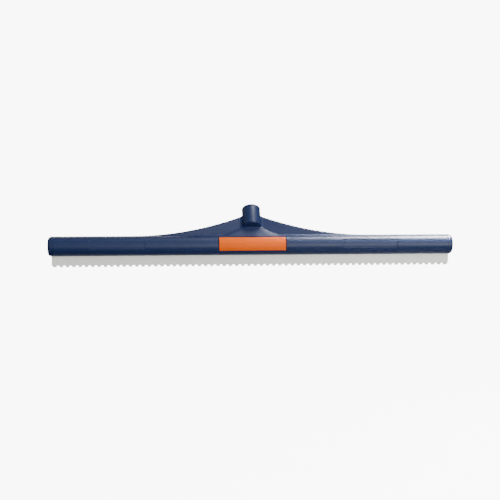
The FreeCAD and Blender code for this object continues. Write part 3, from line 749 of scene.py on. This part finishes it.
def slot_of(piece):
    """The record's material slot for a new piece or for a CAD node that is still shown."""
    if "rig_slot" in piece:
        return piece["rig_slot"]
    return NODE_SLOTS[piece.name.split(".")[0]]


# ---- stage ----------------------------------------------------------------------------------------------

def add_floor():
    """A wide pale floor that curves up far behind the squeegee, so that no horizon shows."""
    u = np.linspace(-6, 6, 25)[:, None]
    run = np.linspace(0, 1, 49)[None, :]
    flat, bend = 7.0, 2.0
    length = run * (flat + bend * math.pi / 2 + 4.0)
    angle = np.clip((length - flat) / bend, 0, math.pi / 2)
    beyond = np.clip(length - flat - bend * math.pi / 2, 0, None)
    y = -4.0 + np.minimum(length, flat) + bend * np.sin(angle)
    z = FLOOR_Z + bend * (1 - np.cos(angle)) + beyond
    points = np.stack([u + 0 * y, y + 0 * u, z + 0 * u], -1).reshape(-1, 3)
    row, column = np.arange(24)[:, None] * 49, np.arange(48)[None, :]
    first = row + column
    faces = np.stack([first, first + 49, first + 50, first + 1], -1).reshape(-1, 4)
    mesh = bpy.data.meshes.new("floor")
    mesh.from_pydata(points.tolist(), [], faces.tolist())
    mesh.polygons.foreach_set("use_smooth", np.ones(len(mesh.polygons), bool))
    floor = bpy.data.objects.new("floor", mesh)
    bpy.context.scene.collection.objects.link(floor)
    material = finish_of("pale_floor", FLOOR_TINT, 0.9, 0.01, 2.0, 0.01, specular=0.1)
    nodes, links = material.node_tree.nodes, material.node_tree.links
    seen = nodes.new("ShaderNodeLightPath")
    glow = nodes.new("ShaderNodeMath")
    glow.operation = "MULTIPLY"
    glow.inputs[1].default_value = BACKDROP
    links.new(seen.outputs["Is Camera Ray"], glow.inputs[0])
    links.new(glow.outputs["Value"], nodes["Principled BSDF"].inputs["Emission Strength"])
    nodes["Principled BSDF"].inputs["Emission Color"].default_value = (1, 1, 1, 1)
    dress(floor, material)
    floor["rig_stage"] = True


def add_world(scene):
    """Soft light from all round, with a brighter backdrop where the camera sees it directly."""
    world = bpy.data.worlds.new("studio")
    world.use_nodes = True
    nodes, links = world.node_tree.nodes, world.node_tree.links
    seen = nodes.new("ShaderNodeLightPath")
    level = nodes.new("ShaderNodeMapRange")
    level.inputs["To Min"].default_value = AMBIENT
    level.inputs["To Max"].default_value = BACKDROP
    links.new(seen.outputs["Is Camera Ray"], level.inputs["Value"])
    links.new(level.outputs["Result"], nodes["Background"].inputs["Strength"])
    nodes["Background"].inputs["Color"].default_value = (1, 1, 1, 1)
    scene.world = world


def add_light(name, place, aim, wide, tall, spread, power):
    """A soft rectangular light that faces a point."""
    data = bpy.data.lights.new(name, "AREA")
    data.shape = "RECTANGLE"
    data.size, data.size_y = wide, tall
    data.spread = math.radians(spread)
    data.energy = power
    light = bpy.data.objects.new(name, data)
    light.location = place
    light.rotation_euler = (Vector(aim) - Vector(place)).to_track_quat("-Z", "Y").to_euler()
    bpy.context.scene.collection.objects.link(light)
    light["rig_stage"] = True


def add_camera(place):
    """A camera at a distance from its aim point, turned, tilted and rolled."""
    turn, tilt, roll = place.turn, place.tilt, place.roll
    ahead = Vector((math.sin(turn) * math.cos(tilt), math.cos(turn) * math.cos(tilt), -math.sin(tilt)))
    right = Vector((math.cos(turn), -math.sin(turn), 0))
    up = right.cross(ahead)
    across = right * math.cos(roll) + up * math.sin(roll)
    upright = up * math.cos(roll) - right * math.sin(roll)
    spot = Vector(place.aim) - ahead * place.distance
    data = bpy.data.cameras.new("camera")
    data.lens = place.lens
    data.sensor_width = 36
    data.clip_end = 50
    camera = bpy.data.objects.new("camera", data)
    camera.matrix_world = Matrix((across, upright, -ahead)).transposed().to_4x4()
    camera.location = spot
    bpy.context.scene.collection.objects.link(camera)
    camera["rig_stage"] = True
    return camera


class SQUEEGEE_PT_panel(bpy.types.Panel):
    """Sizes, finishes and build steps of the squeegee head"""
    bl_label = "Squeegee head"
    bl_idname = "SQUEEGEE_PT_panel"
    bl_space_type = "VIEW_3D"
    bl_region_type = "UI"
    bl_category = "Squeegee"

    def draw(self, context):
        for name, group in GROUPS.items():
            box = self.layout.box()
            for prop in group.__annotations__:
                box.prop(getattr(context.scene, name), prop)
        for operator in STEPS:
            self.layout.operator(operator.bl_idname)


GROUPS = {
    "squeegee_bar": BarSizes,
    "squeegee_blade": BladeSizes,
    "squeegee_finishes": Finishes,
    "squeegee_camera": CameraPlace,
}
STEPS = (
    SQUEEGEE_OT_bar,
    SQUEEGEE_OT_yoke,
    SQUEEGEE_OT_blade,
    SQUEEGEE_OT_badge,
    SQUEEGEE_OT_screws,
    SQUEEGEE_OT_finishes,
    SQUEEGEE_OT_stage,
)


def register():
    for cls in (*GROUPS.values(), *STEPS, SQUEEGEE_PT_panel):
        bpy.utils.register_class(cls)
    for name, group in GROUPS.items():
        setattr(bpy.types.Scene, name, PointerProperty(type=group))


def unregister():
    for name in GROUPS:
        delattr(bpy.types.Scene, name)
    for cls in (SQUEEGEE_PT_panel, *reversed(STEPS), *reversed(GROUPS.values())):
        bpy.utils.unregister_class(cls)


def main():
    register()
    bpy.ops.squeegee.bar()
    bpy.ops.squeegee.yoke()
    bpy.ops.squeegee.blade()
    bpy.ops.squeegee.badge()
    bpy.ops.squeegee.screws()
    bpy.ops.squeegee.finishes()
    bpy.ops.squeegee.stage()


if __name__ == "__main__":
    main()
